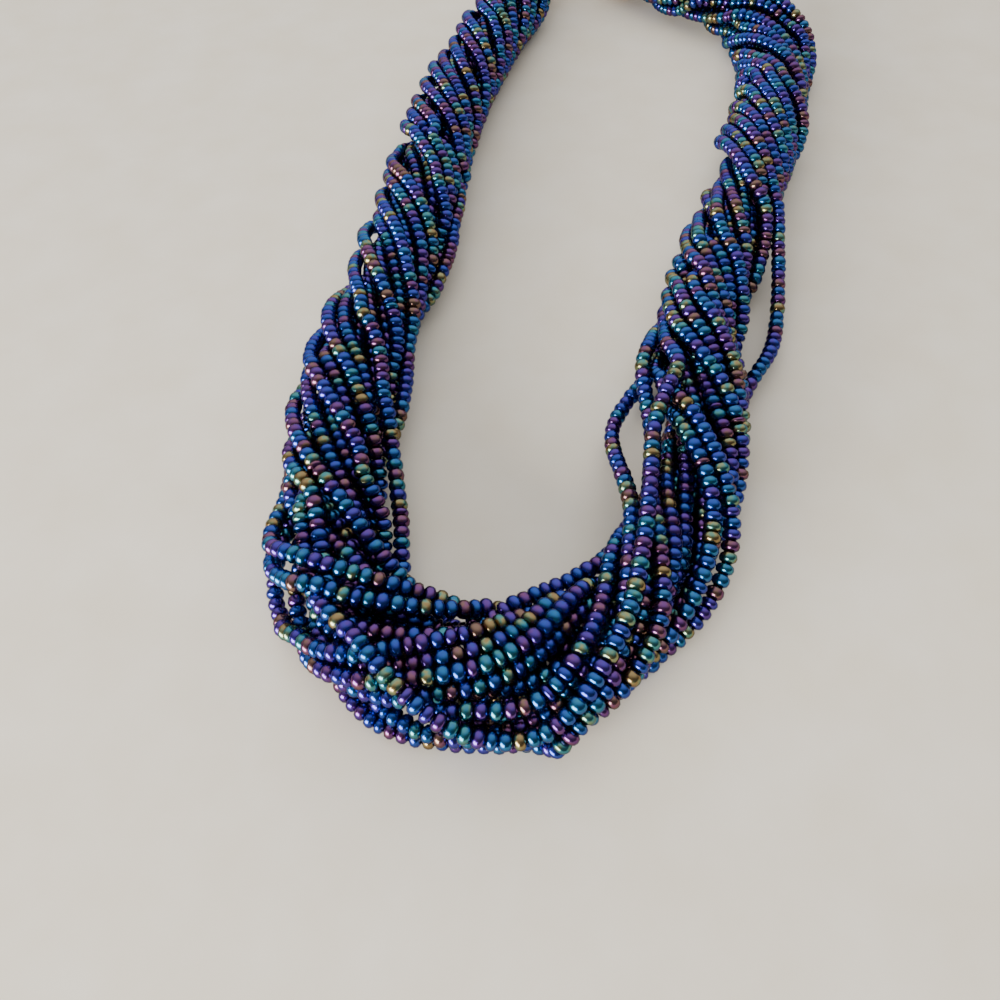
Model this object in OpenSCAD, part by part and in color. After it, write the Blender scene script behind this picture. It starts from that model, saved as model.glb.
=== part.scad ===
// Multi strand torsade necklace of seed beads, lying on a table with its clasp closed.
// Lengths are in millimetres. The table is the plane z = 0, and the bend of the necklace points to -Y.

/* [Strands] */
// Diameter of one seed bead, which is how thick a strand is
bead_d = 2.5; // [2.2:0.05:2.8]
// Strands that show side by side around the outside of the twist
outer_strands = 11; // [9:1:13]

/* [Twisted bundle] */
// Full width of the bundle in its two branches
bundle_w = 16.4; // [14.5:0.1:17.5]
// Height of the bundle as it lies on the table
bundle_h = 12.4; // [11:0.1:13.4]
// Length of bundle in which a strand goes once round it
lay = 72; // [60:1:90]
// Length over which the bundle narrows to a cap's mouth
neck_l = 12; // [8:1:18]
// How deep the strands are seated in a cap
seat_depth = 4; // [2:0.5:5]

/* [Loose strands] */
// How far the loop inside the right branch stands off the bundle
inner_loop_reach = 2.4; // [1:0.1:5]
// How far the loop outside the right branch stands off the bundle
outer_loop_reach = 0.8; // [0.3:0.1:4]
// How far the drooping loop at the front left corner stands off the bundle
front_loop_reach = 0.3; // [0:0.1:3]
// Length of bundle that a loose loop spans
loop_span = 46; // [36:1:56]

/* [End caps] */
// Length of an end cap from tip to mouth
cap_l = 10; // [8:0.5:14]
// Outer radius of a cap's mouth
cap_mouth_r = 7.4; // [7:0.1:8]
// Outer radius of a cap's tip
cap_tip_r = 1.6; // [1.3:0.1:2.5]
// Thickness of a cap's sheet metal
cap_wall = 0.6; // [0.4:0.1:1]
// How far a cap leans down to its tip, in degrees
cap_lean = 7; // [4:1:9]

/* [Eye pins] */
// Thickness of an eye pin's wire
pin_wire = 0.9; // [0.7:0.1:1.1]
// Radius of an eye pin's ring, to the middle of the wire
pin_ring_r = 1.7; // [1.5:0.1:2.4]
// Radius of the head that the threads are tied to
pin_head_r = 1.2; // [0.9:0.1:1.6]

/* [Clasp] */
// Length of the clasp's barrel
clasp_l = 7; // [6:0.5:12]
// Radius of the barrel
clasp_r = 2.4; // [2.1:0.1:3.2]
// Thickness of the wire of the clasp's rings
clasp_wire = 1; // [0.8:0.1:1.2]
// Radius of the clasp's rings, to the middle of the wire
clasp_ring_r = 1.7; // [1.5:0.1:2.4]
// Radius of the barrel's rounded edges
clasp_edge_r = 0.8; // [0.4:0.1:1]
// Width and depth of the groove round the barrel where its two halves meet
seam_w = 0.8; // [0.4:0.1:1.2]
seam_depth = 0.25; // [0.1:0.05:0.4]

/* [Fits] */
// Gap between neighbouring pieces
gap = 0.3; // [0.2:0.05:0.5]
// Gap between linked rings, and round a pin in its hole
link_gap = 0.15; // [0.1:0.05:0.25]

/* [Hidden] */
$fn = 48;

// Plan of the bundle's middle line, from the left cap down the left branch, round the front and up the right
ROUTE = [[-17.2, 215], [-20.8, 203], [-24, 190], [-27.5, 172], [-29.5, 151], [-30.7, 130], [-32.7, 111],
         [-34.5, 95], [-34.6, 79], [-32.3, 64.4], [-27, 51.3], [-17.5, 43.3], [-6.5, 41.2], [3.6, 45.4],
         [10.4, 53.8], [15.2, 65], [18, 80], [19.8, 96], [22, 110], [25.3, 124], [29, 139], [33.4, 153],
         [38, 167], [40.9, 181], [40.6, 194], [37.6, 204.5], [32.2, 213], [24.5, 221]];
// Middle of the clasp, and the way its barrel points
CLASP_AT = [-4.5, 240];
CLASP_TURN = 4;
// The way each cap points in plan, from its tip to its mouth
LEFT_TURN = 248;
RIGHT_TURN = -40;

// Full width and height of the bundle at shares of its length, as shares of bundle_w and bundle_h
AT = 0;
WIDE = 1;
HIGH = 2;
SECTIONS = [[0.00, 0.98, 1.00], [0.22, 1.00, 1.00], [0.34, 1.04, 1.00], [0.41, 0.98, 1.00],
            [0.46, 1.12, 1.02], [0.50, 1.18, 1.02], [0.54, 1.08, 1.01], [0.62, 0.95, 1.00],
            [0.75, 0.97, 1.00], [0.84, 1.08, 1.02], [0.91, 1.16, 1.02], [1.00, 1.04, 1.00]];
// How much of bead_d the outline falls back at each quarter of one strand's place
FLUTE = [0, 0.09, 0.32, 0.09];
// Share of the bundle's height that lies below its middle line, where the table flattens it
BELOW = 0.46;
// Sides of a loose strand's tube, its steps, and the angles round the bundle that it is centred on and sweeps
TUBE_SIDES = 8;
LOOP_STEPS = 18;
LOOP_TILT = 12;
LOOP_SWEEP = 56;
// How far a loose strand sags, as a share of its reach
LOOP_SAG = 0.5;
// Share of the bundle's length at which the middle of each loose strand lies
INNER_AT = 0.6;
OUTER_AT = 0.675;
FRONT_AT = 0.42;
// Lengths of bundle between its rings, and over which its direction is taken
RING_STEP = 4;
AIM = 3;
// How soon a cap's bell widens, where 1 is a quarter of a sine wave and less is blunter, and its steps
BELL = 0.7;
BELL_STEPS = 12;

// Small helpers for directions and smooth changes
function unit(v) = v / norm(v);
function heading(a, up = 0) = [cos(a) * cos(up), sin(a) * cos(up), sin(up)];
function ease(t) = t <= 0 ? 0 : t >= 1 ? 1 : t * t * (3 - 2 * t);
function hump(t) = abs(t) >= 1 ? 0 : pow(1 - t * t, 2);
function side_of(t) = unit(cross([0, 0, 1], t));
function up_of(t) = cross(t, side_of(t));

// Radius of a cap at a distance from its tip: a bell that widens fast and then runs nearly straight
function bell_r(d) = cap_tip_r + (cap_mouth_r - cap_tip_r) * pow(sin(90 * d / cap_l), BELL);
function room_r(depth) = bell_r(cap_l - depth) - cap_wall - gap;

// Each cap rests on its mouth and leans to its tip. The clasp hangs level between the two pins' rings.
eye_at = clasp_l / 2 + clasp_ring_r;
link_step = clasp_ring_r + pin_ring_r - (clasp_wire + pin_wire) / 2 - link_gap;
tip_from_ring = pin_ring_r + pin_wire / 2 + gap;
mouth_from_ring = tip_from_ring + cap_l;
mouth_z = max([for (k = [0 : BELL_STEPS]) let (d = cap_l * k / BELL_STEPS)
    bell_r(d) * cos(cap_lean) + (cap_l - d) * sin(cap_lean)]);
clasp_z = mouth_z - mouth_from_ring * sin(cap_lean);
function cap_turn(end) = end < 0 ? LEFT_TURN : RIGHT_TURN;
function eye_of_clasp(end) = [CLASP_AT.x, CLASP_AT.y, clasp_z] + end * eye_at * heading(CLASP_TURN);
function ring_at(end) = eye_of_clasp(end) + link_step * heading(cap_turn(end));
function out_along(end, d) = ring_at(end) + d * heading(cap_turn(end), cap_lean);

// Middle line of the bundle in space, seated in both caps
mid_z = bundle_h * BELOW;
function seated(end) = [for (k = [-1 : 1]) out_along(end, mouth_from_ring + k * seat_depth)];
knots = concat(seated(-1), [for (p = ROUTE) [p.x, p.y, mid_z]], [for (k = [2 : -1 : 0]) seated(1)[k]]);
last = len(knots) - 1;
function knot(i) = knots[max(0, min(last, i))];
function spline(i, t) =
    let (a = knot(i - 1), b = knot(i), c = knot(i + 1), d = knot(i + 2))
    0.5 * (2 * b + (c - a) * t + (2 * a - 5 * b + 4 * c - d) * t * t + (3 * b - a - 3 * c + d) * t * t * t);
STEPS = 8;
fine = concat([for (i = [0 : last - 1]) for (k = [0 : STEPS - 1]) spline(i, k / STEPS)], [knots[last]]);
function step_to(i) = i < len(fine) ? norm(fine[i] - fine[i - 1]) : 0;
reached = [for (i = 0, s = 0; i < len(fine); i = i + 1, s = s + step_to(i)) s];
span = reached[len(reached) - 1];
lines = [for (axis = [0 : 2]) [for (i = [0 : len(fine) - 1]) [reached[i], fine[i][axis]]]];
function middle(s) = [for (line = lines) lookup(s, line)];
function tangent(s) = unit(middle(min(span, s + AIM / 2)) - middle(max(0, s - AIM / 2)));

// Half width and half height of the bundle at a distance along it
function share(s, column) = lookup(s / span, [for (row = SECTIONS) [row[AT], row[column]]]);
function half(s, full, column) =
    let (e = min(s, span - s), k = ease((e - seat_depth) / neck_l))
    e < seat_depth ? room_r(seat_depth - e) : (1 - k) * room_r(0) + k * full / 2 * share(s, column);
function half_w(s) = half(s, bundle_w, WIDE);
function half_h(s) = half(s, 2 * bundle_h * (1 - BELOW), HIGH);

// One ring of the bundle's outline. Its flutes turn with the lay, and nothing reaches below the table.
ring_points = outer_strands * len(FLUTE);
function on_table(p) = [p.x, p.y, max(0, p.z)];
function bundle_ring(s) =
    let (m = middle(s), t = tangent(s), n = side_of(t), u = up_of(t), w = half_w(s), h = half_h(s))
    [for (k = [0 : ring_points - 1])
        let (a = 360 * k / ring_points - 360 * s / lay, f = FLUTE[k % len(FLUTE)] * bead_d)
        on_table(m + n * (w - f) * cos(a) + u * (h - f) * sin(a))];

// Middle line of a loose strand. It comes down one side of the bundle, or up the other, and sags off it.
function loop_point(s, at, side, reach) =
    let (k = (s - at) / (loop_span / 2), b = hump(k), a = 90 - side * 90 + side * LOOP_TILT - LOOP_SWEEP * k,
         off = bead_d / 2 + gap + reach * b, m = middle(s), t = tangent(s),
         p = m + side_of(t) * (half_w(s) + off) * cos(a) + up_of(t) * (half_h(s) + off) * sin(a))
    [p.x, p.y, max(bead_d / 2, p.z - LOOP_SAG * reach * b)];
function loop_line(at, side, reach) =
    [for (k = [0 : LOOP_STEPS]) loop_point(at + loop_span * (k / LOOP_STEPS - 0.5), at, side, reach)];
function tube_rings(line) =
    [for (i = [0 : len(line) - 1])
        let (t = unit(line[min(len(line) - 1, i + 1)] - line[max(0, i - 1)]), n = side_of(t), u = up_of(t))
        [for (k = [0 : TUBE_SIDES - 1])
            let (a = 360 * k / TUBE_SIDES)
            on_table(line[i] + (n * cos(a) + u * sin(a)) * bead_d / 2)]];

// Closed skin through equal rings of points
module skin(rings) {
    n = len(rings[0]);
    m = len(rings);
    points = [for (ring = rings) for (p = ring) p];
    walls = [for (i = [0 : m - 2]) for (k = [0 : n - 1])
        let (j = (k + 1) % n, a = i * n + k, b = i * n + j, c = a + n, d = b + n)
        each [[a, c, b], [b, c, d]]];
    ends = [[for (k = [0 : n - 1]) k], [for (k = [n - 1 : -1 : 0]) (m - 1) * n + k]];
    polyhedron(points, concat(walls, ends), convexity = 10);
}

// Rings of the bundle and of the three loose strands
ring_count = round(span / RING_STEP);
bundle_rings = [for (i = [0 : ring_count]) bundle_ring(span * i / ring_count)];
inner_rings = tube_rings(loop_line(INNER_AT * span, 1, inner_loop_reach));
outer_rings = tube_rings(loop_line(OUTER_AT * span, -1, outer_loop_reach));
front_rings = tube_rings(loop_line(FRONT_AT * span, -1, front_loop_reach));

// The part's origin is under the middle of its box
all_rings = concat(bundle_rings, inner_rings, outer_rings, front_rings);
all_points = [for (ring = all_rings) each ring];
clasp_top = CLASP_AT.y + clasp_r * cos(CLASP_TURN) + clasp_l / 2 * sin(CLASP_TURN);
origin = [(min([for (p = all_points) p.x]) + max([for (p = all_points) p.x])) / 2,
          (min([for (p = all_points) p.y]) + clasp_top) / 2, 0];

// Puts what is drawn in the plan's own coordinates over the part's origin
module place() {
    translate(-origin)
    children();
}

module strand_bundle() {
    color("midnightblue") place() skin(bundle_rings);
}

module loose_strand_inner() {
    color("slateblue") place() skin(inner_rings);
}

module loose_strand_outer() {
    color("slateblue") place() skin(outer_rings);
}

module loose_strand_front() {
    color("slateblue") place() skin(front_rings);
}

// Places what is drawn along +X from the middle of a pin's ring, on its cap's line
module from_ring(end) {
    place()
    translate(ring_at(end))
    rotate([0, -cap_lean, cap_turn(end)])
    children();
}

// A bell of sheet metal, open at its mouth and drilled at its tip
module end_cap(end) {
    drill = pin_wire / 2 + link_gap;
    outside = [for (k = [0 : BELL_STEPS]) let (d = cap_l * k / BELL_STEPS) [bell_r(d), d]];
    inside = [for (k = [BELL_STEPS : -1 : 0])
        [max(drill, outside[k].x - cap_wall), max(cap_wall, outside[k].y)]];
    color("peru")
    from_ring(end)
    translate([tip_from_ring, 0, 0])
    rotate([0, 90, 0])
    rotate_extrude()
    polygon(concat([[drill, 0]], outside, inside, [[drill, cap_wall]]));
}

module end_cap_left() {
    end_cap(-1);
}

module end_cap_right() {
    end_cap(1);
}

// A wire ring outside the cap's tip, its shank through the tip, and the head that the threads are tied to
module eye_pin(end) {
    reach = tip_from_ring + cap_l - seat_depth - gap - pin_head_r;
    color("peru")
    from_ring(end) {
        rotate([90, 0, 0])
        rotate_extrude()
        translate([pin_ring_r, 0])
        circle(d = pin_wire);
        translate([pin_ring_r, 0, 0])
        rotate([0, 90, 0])
        cylinder(d = pin_wire, h = reach - pin_ring_r);
        translate([reach, 0, 0])
        sphere(r = pin_head_r);
    }
}

module eye_pin_left() {
    eye_pin(-1);
}

module eye_pin_right() {
    eye_pin(1);
}

// A closed barrel with a groove round its middle and a flat wire ring at each end
module clasp() {
    turns = [for (k = [0 : 4]) 90 * k / 4];
    mid = [clasp_r - clasp_edge_r, clasp_l / 2 - clasp_edge_r];
    upper = concat([[clasp_r - seam_depth, seam_w / 4], [clasp_r, seam_w / 2]],
                   [for (a = turns) mid + clasp_edge_r * [cos(a), sin(a)]], [[0, clasp_l / 2]]);
    lower = [for (k = [len(upper) - 1 : -1 : 0]) [upper[k].x, -upper[k].y]];
    color("peru")
    place()
    translate([CLASP_AT.x, CLASP_AT.y, clasp_z])
    rotate([0, 0, CLASP_TURN]) {
        rotate([0, 90, 0])
        rotate_extrude()
        polygon(concat(lower, upper));
        for (end = [-1, 1])
            translate([end * eye_at, 0, 0])
            rotate_extrude()
            translate([clasp_ring_r, 0])
            circle(d = clasp_wire);
    }
}

strand_bundle();
loose_strand_inner();
loose_strand_outer();
loose_strand_front();
end_cap_left();
end_cap_right();
eye_pin_left();
eye_pin_right();
clasp();
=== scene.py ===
# %% [markdown]
# # A torsade necklace of iris seed beads
#
# A torsade is a rope of bead strands. Every strand is a thread full of small glass beads, and all of them
# are gathered, twisted together and drawn into a cap at each end. This lesson dresses a imported model of
# one that lies on a table: the rope becomes real strands of real beads, and the metal findings get their
# finish.
#
# The imported model is loaded first and stays as it is.

# %% Load the frame
import math
import time

import bpy
import numpy as np
from mathutils import Matrix, Vector


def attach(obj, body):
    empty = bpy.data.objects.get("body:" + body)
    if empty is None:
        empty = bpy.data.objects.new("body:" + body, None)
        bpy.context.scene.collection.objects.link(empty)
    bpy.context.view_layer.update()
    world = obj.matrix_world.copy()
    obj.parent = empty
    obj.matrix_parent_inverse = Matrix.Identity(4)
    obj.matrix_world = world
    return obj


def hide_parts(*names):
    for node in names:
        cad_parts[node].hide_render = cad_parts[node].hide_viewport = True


STARTED = time.time()
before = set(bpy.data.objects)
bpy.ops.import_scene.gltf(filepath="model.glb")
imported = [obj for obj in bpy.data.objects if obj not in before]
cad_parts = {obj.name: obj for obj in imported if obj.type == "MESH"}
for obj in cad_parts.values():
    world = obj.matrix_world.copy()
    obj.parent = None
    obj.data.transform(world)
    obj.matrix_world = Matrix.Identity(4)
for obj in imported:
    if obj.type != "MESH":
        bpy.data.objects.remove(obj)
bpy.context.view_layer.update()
print("CAD nodes:", ", ".join(sorted(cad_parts)))

# %% [markdown]
# ## Units
#
# The strands are laid out in millimetres, because a bead is easier to think of as 2.5 mm than as 0.0025
# m. Everything is turned to metres when its mesh is made.

# %% Units
MM = 0.001
print("one millimetre is", MM, "m")

# %% [markdown]
# ## The camera
#
# The necklace is seen by someone who stands over its front bend and looks along it. Strands are so small
# that a few degrees change which of them cross, so the camera comes before anything that is judged
# through it. It is described as a photographer would: where it stands, which way it faces, how far down
# it looks and how it is tilted. The lens is given for a sensor that is 36 mm wide.

# %% Camera
CAMERA_AT = Vector((-2.8, -137.1, 103.1)) * MM
CAMERA_HEADING = math.radians(7.74)
CAMERA_DOWN = math.radians(54.64)
CAMERA_TILT = math.radians(-3.83)
CAMERA_LENS = 30.6
SENSOR_WIDTH = 36
NEAREST_SEEN = 5 * MM
FARTHEST_SEEN = 20

ahead = Vector((-math.sin(CAMERA_HEADING), math.cos(CAMERA_HEADING), 0))
look = ahead * math.cos(CAMERA_DOWN) - Vector((0, 0, math.sin(CAMERA_DOWN)))
level = Vector((math.cos(CAMERA_HEADING), math.sin(CAMERA_HEADING), 0))
over = level.cross(look)
right = level * math.cos(CAMERA_TILT) + over * math.sin(CAMERA_TILT)
top = over * math.cos(CAMERA_TILT) - level * math.sin(CAMERA_TILT)
bpy.ops.object.camera_add(location=CAMERA_AT)
camera = bpy.context.object
camera.name = "camera"
turned = Matrix((right, top, -look)).transposed().to_4x4()
camera.matrix_world = Matrix.Translation(CAMERA_AT) @ turned
camera.data.lens = CAMERA_LENS
camera.data.sensor_width = SENSOR_WIDTH
camera.data.clip_start = NEAREST_SEEN
camera.data.clip_end = FARTHEST_SEEN
bpy.context.scene.camera = camera
print("camera", [round(x / MM) for x in CAMERA_AT], "mm, lens", CAMERA_LENS, "mm")

# %% [markdown]
# ## The caps' mouths
#
# The rope starts in one cap and ends in the other, so both ends of its middle line are taken from the
# caps themselves. A cap is a bell, round about its axis. So its vertices spread alike in two of their
# three main directions, and the third is the axis. Those that are farthest out along it are the rim.

# %% The caps' mouths and axes
RIM_BAND = 0.3


def node_points(node):
    """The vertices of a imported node, in millimetres."""
    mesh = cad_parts[node].data
    found = np.zeros(len(mesh.vertices) * 3)
    mesh.vertices.foreach_get("co", found)
    return found.reshape(-1, 3) / MM


def cap_axis(node):
    """Middle of a cap's rim, and its axis from tip to rim."""
    points = np.unique(node_points(node).round(3), axis=0)
    spread, ways = np.linalg.eigh(np.cov(points.T))
    axis = ways[:, 0 if spread[1] - spread[0] > spread[2] - spread[1] else 2]
    axis = axis * np.sign(axis @ (points.mean(0) - node_points("clasp").mean(0)))
    along = points @ axis
    return points[along > along.max() - RIM_BAND].mean(0), axis


left_rim, left_axis = cap_axis("end_cap_left")
right_rim, right_axis = cap_axis("end_cap_right")
print("left rim", left_rim.round(1), "right rim", right_rim.round(1))

# %% [markdown]
# ## The line that the rope follows
#
# Between the caps the middle line is the imported model's own: round numbers, given in the plan of the
# model's drawing, down the left branch, round the front and up the right branch.
# PLAN_ORIGIN is where the model's own origin lies in that drawing.
#
# Round numbers make a jagged path, so a spline is drawn through them. It could be a curve object, but
# everything that follows asks it for a place at a distance along the rope, and for the two directions
# across it, and arrays answer that for hundreds of places at once. Both ends run straight into the caps.
# BELOW is the share of the rope's height that lies under the line, and AIM is how far ahead and back its
# direction is taken from.

# %% The middle line
ROUTE = [(-17.2, 215), (-20.8, 203), (-24, 190), (-27.5, 172), (-29.5, 151), (-30.7, 130), (-32.7, 111),
         (-34.5, 95), (-34.6, 79), (-32.3, 64.4), (-27, 51.3), (-17.5, 43.3), (-6.5, 41.2), (3.6, 45.4),
         (10.4, 53.8), (15.2, 65), (18, 80), (19.8, 96), (22, 110), (25.3, 124), (29, 139), (33.4, 153),
         (38, 167), (40.9, 181), (40.6, 194), (37.6, 204.5), (32.2, 213), (24.5, 221)]
PLAN_ORIGIN = (2.82, 137.07)
SEAT_DEPTH = 4.0
BUNDLE_H = 12.4
BELOW = 0.46
FINE_STEPS = 24
AIM = 3.0


def between(a, b, c, d, t):
    """The smooth line from b to c, for t from 0 to 1. The points a and d, before and after, steer it."""
    return 0.5 * (2 * b + (c - a) * t + (2 * a - 5 * b + 4 * c - d) * t**2 + (3 * b - a - 3 * c + d) * t**3)


def spline(points, steps):
    """A smooth line through the points, in small steps."""
    held = np.vstack([points[:1], points, points[-1:]])
    t = np.linspace(0, 1, steps, endpoint=False)[:, None]
    fours = zip(held[:-3], held[1:-2], held[2:-1], held[3:])
    return np.vstack([*[between(a, b, c, d, t) for a, b, c, d in fours], points[-1:]])


def run_of(line):
    """How far along a line each of its points is."""
    return np.r_[0, np.cumsum(np.linalg.norm(np.diff(line, axis=0), axis=1))]


def seated(rim, axis):
    """Three points that lead the rope straight through a cap's rim to its seat."""
    return [rim + k * SEAT_DEPTH * axis for k in (-1, 0, 1)]


laid = [np.array([x - PLAN_ORIGIN[0], y - PLAN_ORIGIN[1], BUNDLE_H * BELOW]) for x, y in ROUTE]
in_left, in_right = seated(left_rim, left_axis), seated(right_rim, right_axis)
middle = spline(np.array(in_left + laid + in_right[::-1]), FINE_STEPS)
reached = run_of(middle)
SPAN = reached[-1]


def middle_at(s):
    """The points of the middle line at the distances s along it."""
    return np.stack([np.interp(s, reached, middle[:, k]) for k in range(3)], -1)


def section_at(s):
    """The level sideways direction and the upward direction across the rope."""
    t = middle_at(np.minimum(s + AIM, SPAN)) - middle_at(np.maximum(s - AIM, 0))
    t /= np.linalg.norm(t, axis=-1, keepdims=True)
    n = np.cross([0, 0, 1.0], t)
    n /= np.linalg.norm(n, axis=-1, keepdims=True)
    return n, np.cross(t, n)


print("the rope is %.0f mm long" % SPAN)

# %% [markdown]
# ## Laying up the strands
#
# A rope maker would say that the strands lie in layers: three in the heart, seven round them and eleven
# outside. Each goes once round the rope in 72 mm. On a real torsade no two strands are equally long, so
# each one wanders: it slides ahead or falls back round the rope, and sinks in or swells out. Strands also
# bunch in twos and threes and leave gaps between the bunches. Smooth random curves do that, with a fixed
# seed, so that the necklace is the same each time. SECTIONS says how wide and high the rope is along its
# way, where 1 is its usual size, and LAYERS says how far out each layer lies and how many strands it has.
# Over NECK_L from each cap the rope draws in to the room in the cap's mouth.

# %% Strand layout
BEAD_D = 2.5
bead_r = BEAD_D / 2
BUNDLE_W = 16.4
NECK_L = 12.0
MOUTH_ROOM = 6.5
SECTIONS = np.array([
    (0.00, 0.98, 1.00), (0.22, 1.00, 1.00), (0.34, 1.04, 1.00), (0.41, 0.98, 1.00),
    (0.46, 1.12, 1.02), (0.50, 1.18, 1.02), (0.54, 1.08, 1.01), (0.62, 0.95, 1.00),
    (0.75, 0.97, 1.00), (0.84, 1.08, 1.02), (0.91, 1.16, 1.02), (1.00, 1.04, 1.00),
])
AT, WIDE, HIGH = 0, 1, 2
LAYERS = [(0.22, 3), (0.62, 7), (1.0, 11)]
SPARE_VALUES = 6
rng = np.random.default_rng(5)


def half_sizes(s):
    """Half the rope's width and height, to the middle of its outer strands."""
    full_w = BUNDLE_W / 2 * np.interp(s / SPAN, SECTIONS[:, AT], SECTIONS[:, WIDE])
    full_h = BUNDLE_H * (1 - BELOW) * np.interp(s / SPAN, SECTIONS[:, AT], SECTIONS[:, HIGH])
    k = np.clip((np.minimum(s, SPAN - s) - SEAT_DEPTH) / NECK_L, 0, 1)
    k = k * k * (3 - 2 * k)
    return (1 - k) * MOUTH_ROOM + k * full_w - bead_r, (1 - k) * MOUTH_ROOM + k * full_h - bead_r


def wander(s, length, rows):
    """Smooth random curves of about unit size that change over the given length, one row for each strand."""
    v = rng.standard_normal((rows, int(SPAN / length) + SPARE_VALUES))
    t = s[None, :] / length + rng.random((rows, 1))
    i, r = t.astype(int), np.arange(rows)[:, None]
    return between(v[r, i], v[r, i + 1], v[r, i + 2], v[r, i + 3], t - i)


print(sum(count for _, count in LAYERS), "strands in", len(LAYERS), "layers")

# %% [markdown]
# ## Slack strands
#
# A few strands are too long for their place, and they give the torsade its casual look. One crosses over
# all the others at the front bend. Three hang out as loose loops, some run straight down an inner edge,
# and the rest wrap round the left corner. Each gets a short table: how far along the rope, how far round
# it (0 is its inner side, 90 its top), and how far outside its layer. The outer strand that is nearest
# where a table starts is the one that follows it. The fillers are strands of the middle layer that come
# up where slack ones left room.

# %% Tables of the slack strands
ALONG, ROUND, OUTSIDE = 0, 1, 2
SLACK = {
    "inside_left_top": [(78, 20, 0.0), (84, -2, 0.7), (91, -6, 1.4), (103, -8, 1.4), (109, -8, 2.8),
                        (113, -8, 2.1), (118, -12, 1.5), (123, -24, 0.0)],
    "inside_left_middle": [(124, 30, 0.0), (131, 6, 0.3), (139, -5, 1.4), (145, -6, 2.0), (150, -8, 2.2),
                           (154, -15, 1.0), (160, -36, 0.0)],
    "inside_left_bottom": [(150, 22, 0.0), (156, -3, 0.4), (160, -5, 1.2), (166, -6, 1.5), (172, -7, 1.6),
                           (176, -12, 0.6), (183, -34, 0.0)],
    "loop_at_left_corner": [(156, 226, 0.3), (163, 212, 1.4), (169, 203, 2.6), (172, 201, 3.0),
                            (175, 199, 4.0), (177, 200, 4.6), (178.5, 203, 4.2), (180, 204, 3.4),
                            (181.5, 203, 1.8), (184, 180, 0.4), (187, 150, 0.1), (192, 118, 0.0)],
    "over_the_corner": [(166, 190, 0.6), (171, 172, 2.2), (173, 158, 2.5), (175, 135, 2.4), (177, 122, 2.2),
                        (180, 98, 1.2), (184, 70, 0.5), (189, 45, 0.3), (194, 18, 0.3), (200, -12, 0.0)],
    "along_the_front": [(165, 208, 0.5), (170, 190, 1.8), (173, 179, 2.9), (175, 173, 2.9),
                        (176.5, 160, 2.5), (178.5, 143, 2.0), (181, 124, 1.4), (184, 103, 0.6),
                        (187, 79, 0.4), (192, 57, 0.3), (196, 38, 0.4), (200, 18, 0.8),
                        (205, 6, 1.1), (211, 2, 0.9), (218, -12, 0.2)],
    "second_across": [(183, 136, 0.1), (189, 106, 0.2), (195, 74, 0.2), (200, 51, 0.2), (206, 25, 0.2),
                      (212, -5, 0.0)],
    "third_across": [(190, 142, 0.1), (196, 112, 0.2), (200, 87, 0.2), (204, 70, 0.2), (210, 52, 0.2),
                     (216, 22, 0.0)],
    "low_second": [(172, 206, 0.2), (178, 204, 1.4), (183, 201, 2.3), (185, 196, 1.6), (187, 180, 0.7),
                   (191, 145, 0.1), (196, 118, 0.0)],
    "low_third": [(184, 202, 0.5), (188, 187, 0.9), (191, 172, 0.5), (195, 151, 0.2), (200, 126, 0.0)],
    "low_fourth": [(186, 214, 0.4), (190, 207, 1.1), (193, 204, 1.3), (196, 205, 1.0), (199, 208, 0.3),
                   (202, 212, -0.2), (206, 206, -1.0), (210, 190, -1.5), (214, 170, -1.5),
                   (218, 150, -0.8)],
    "over_the_front": [(179, 130, 0.0), (184, 119, 1.0), (187, 116, 2.0), (191, 113, 2.1), (195, 121, 2.2),
                       (198, 131, 2.0), (200, 140, 1.9), (202, 148, 1.4), (203.5, 157, 0.8), (205, 166, 0.4),
                       (207, 169, 0.3), (208.5, 167, 0.4), (210, 155, 0.9), (211.5, 142, 1.7),
                       (213, 132, 2.3), (215, 120, 2.5), (218, 109, 2.4), (224, 92, 2.2),
                       (230, 75, 2.2), (240, 58, 2.2), (252, 47, 2.2), (259, 52, 2.0), (267, 68, 0.6)],
    "inside_front": [(206, 26, 0.1), (212, 8, 0.7), (219, 4, 0.8), (226, 4, 0.3), (232, -10, 0.0)],
    "loop_inside_right": [(232, 50, 0.4), (240, 28, 1.0), (245, 12, 1.7), (250, 2, 3.3), (255, -4, 4.6),
                          (259, -7, 5.0), (264, -12, 3.7), (268, -20, 2.2), (276, -44, 0.2)],
    "inside_right": [(252, 34, 0.3), (258, 26, 1.2), (262, 21, 1.8), (266, 18, 2.4), (270, 16, 2.3),
                     (274, 12, 1.2), (281, -20, 0.0)],
    "loop_outside_right": [(262, 222, 0.1), (268, 208, 0.8), (273, 198, 1.8), (278, 193, 3.8),
                           (284, 191, 4.6), (292, 190, 4.3), (300, 188, 3.1), (308, 176, 1.4),
                           (316, 150, 0.0)],
}
FILLERS = {
    "low_filler": [(188, 208, 1.6), (191, 200, 2.4), (196, 195, 2.7), (201, 193, 2.2), (206, 184, 0.8)],
    "under_the_front": [(204, 118, -2.0), (208, 112, -1.2), (212, 100, -1.0), (217, 86, -2.0)],
    "beside_the_front": [(198, 150, 1.4), (201, 139, 2.4), (204, 137, 2.6), (207, 140, 2.6), (209, 134, 2.6),
                         (211, 124, 2.7), (213, 109, 2.9), (215, 98, 2.8), (219, 80, 1.5)],
}
print(len(SLACK), "slack strands and", len(FILLERS), "fillers")

# %% [markdown]
# ## Following the tables
#
# A strand comes round to its table over a short way before it starts, and stays on it to the end. From
# there it goes on with its own twist, so that it never has to race round the rope to get home. Corners in
# the tables are averaged away. A strand that is on one table, or was until just before, isn't given
# another one.

# %% Follow the tables
JOIN = 12.0
SMOOTH_OVER = 5


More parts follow.
